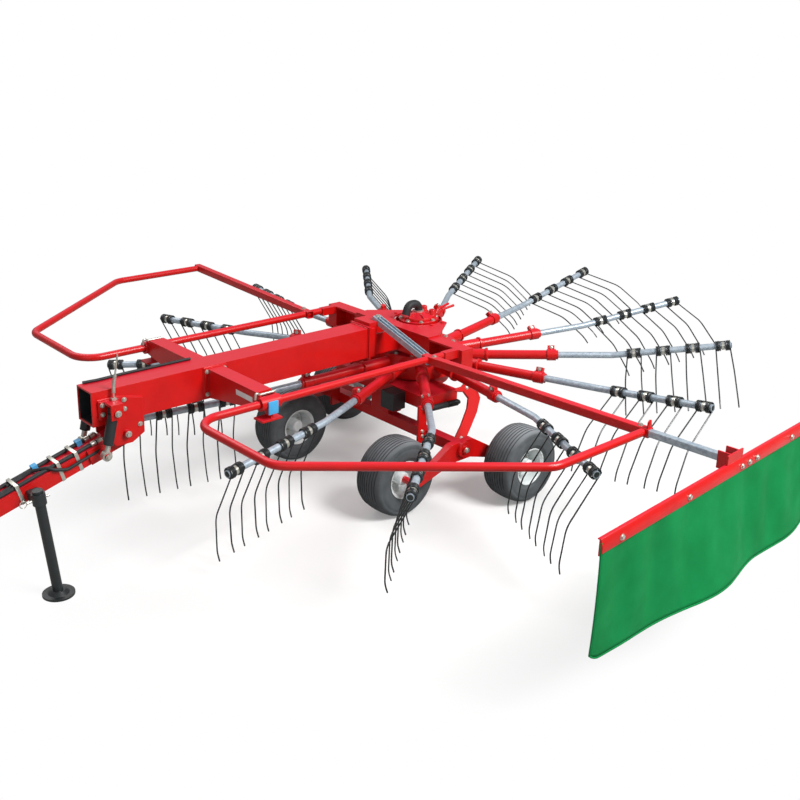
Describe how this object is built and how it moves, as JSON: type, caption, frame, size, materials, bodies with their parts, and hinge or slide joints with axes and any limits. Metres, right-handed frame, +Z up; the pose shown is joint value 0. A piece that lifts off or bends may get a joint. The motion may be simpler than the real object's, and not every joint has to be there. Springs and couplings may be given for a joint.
{
  "type": "single rotor hay rake",
  "caption": "Trailed rotary hay rake with tined arms on a cam-lifted rotor, folding guards, side swath curtain, tandem wheels, parking jack and hydraulic drawbar.",
  "frame": {"origin": "centre of the towing eye's bore, at mid thickness", "axes": "+X forward along the machine, +Y to its left, +Z up"},
  "size_m": [5.0675, 4.4943, 1.152],
  "materials": {
    "red_paint": "glossy farm red enamel",
    "galvanised": "hot-dip galvanised",
    "zinc": "bright zinc",
    "hose_rubber": "matte",
    "black_paint": "satin black",
    "tyre_rubber": "matte",
    "rim_paint": "satin white silver",
    "green_cloth": "coated cloth",
    "blue_plastic": "glossy"
  },
  "bodies": {
    "frame": {"main_beam": "red_paint", "front_plates": "red_paint", "head_frame": "red_paint", "cross_box": "red_paint", "gearbox": "red_paint", "filler_elbow": "hose_rubber", "hitch_hook": "red_paint", "guard_brackets": "red_paint", "brace_strut": "galvanised", "rotor_column": "black_paint", "tower": "red_paint", "cam_box": "black_paint", "axle_beam": "red_paint", "height_rams": "black_paint", "rockers": "red_paint", "drive_stub": "zinc", "mouth_liner": "black_paint", "beam_hose": "hose_rubber", "valve_lever": "zinc"},
    "rotor": {"rotor_hub": "red_paint", "arm_inner": "red_paint", "arm_outer": "galvanised", "arm_clamps": "red_paint", "tines": "black_paint"},
    "wheel_fl": {"tyre_fl": "tyre_rubber", "rim_fl": "rim_paint"},
    "wheel_fr": {"tyre_fr": "tyre_rubber", "rim_fr": "rim_paint"},
    "wheel_rl": {"tyre_rl": "tyre_rubber", "rim_rl": "rim_paint"},
    "wheel_rr": {"tyre_rr": "tyre_rubber", "rim_rr": "rim_paint"},
    "guard_l": {"guard_left": "red_paint", "bar_left": "red_paint"},
    "guard_r": {"guard_right": "red_paint", "bar_right": "red_paint"},
    "curtain": {"slide_arm": "galvanised", "curtain_rail": "red_paint", "curtain_cloth": "green_cloth"},
    "towbar": {"drawbar": "red_paint", "drawbar_hoses": "hose_rubber", "hose_clips": "blue_plastic", "jack_socket": "black_paint"},
    "jack": {"jack_leg": "black_paint"},
    "barrels": {"cylinder_barrels": "black_paint"},
    "rods": {"cylinder_rods": "zinc"}
  },
  "joints": [
    {"name": "rotor_spin", "type": "hinge", "parent": "frame", "child": "rotor", "pos_m": [-3.06, 0, 0.261], "axis": [0.0471, 0, 0.9989], "continuous": true},
    {"name": "spin_fl", "type": "hinge", "parent": "frame", "child": "wheel_fl", "pos_m": [-2.434, 0.5, -0.2105], "axis": [0, 1, 0], "continuous": true},
    {"name": "spin_fr", "type": "hinge", "parent": "frame", "child": "wheel_fr", "pos_m": [-2.434, -0.5, -0.2105], "axis": [0, 1, 0], "continuous": true},
    {"name": "spin_rl", "type": "hinge", "parent": "frame", "child": "wheel_rl", "pos_m": [-3.132, 0.83, -0.2105], "axis": [0, 1, 0], "continuous": true},
    {"name": "spin_rr", "type": "hinge", "parent": "frame", "child": "wheel_rr", "pos_m": [-3.132, -0.83, -0.2105], "axis": [0, 1, 0], "continuous": true},
    {"name": "guard_left_fold", "type": "hinge", "parent": "frame", "child": "guard_l", "pos_m": [-2.608, 0.56, 0.473], "axis": [1, 0, 0], "range_deg": [0, 95]},
    {"name": "guard_right_fold", "type": "hinge", "parent": "frame", "child": "guard_r", "pos_m": [-2.608, -0.56, 0.473], "axis": [-1, 0, 0], "range_deg": [0, 95]},
    {"name": "curtain_slide", "type": "slide", "parent": "guard_l", "child": "curtain", "axis": [-0.061, 0.9981, 0], "range_m": [-0.25, 0.25]},
    {"name": "drawbar_pitch", "type": "hinge", "parent": "frame", "child": "towbar", "pos_m": [-0.99, 0, 0.289], "axis": [0, 1, 0], "range_deg": [-2, 12]},
    {"name": "jack_slide", "type": "slide", "parent": "towbar", "child": "jack", "axis": [0.1079, 0, 0.9942], "range_m": [0, 0.3]},
    {"name": "cylinder_swing", "type": "hinge", "parent": "frame", "child": "barrels", "pos_m": [-0.908, 0, 0.437], "axis": [0, 1, 0], "range_deg": [-2, 7]},
    {"name": "rod_slide", "type": "slide", "parent": "barrels", "child": "rods", "axis": [0.2281, 0, -0.9736], "range_m": [-0.006, 0.026]}
  ],
  "couplings": [
    {"joint": "cylinder_swing", "follows": "drawbar_pitch", "ratio": 0.45},
    {"joint": "rod_slide", "follows": "drawbar_pitch", "m_per_rad": 0.1136}
  ]
}
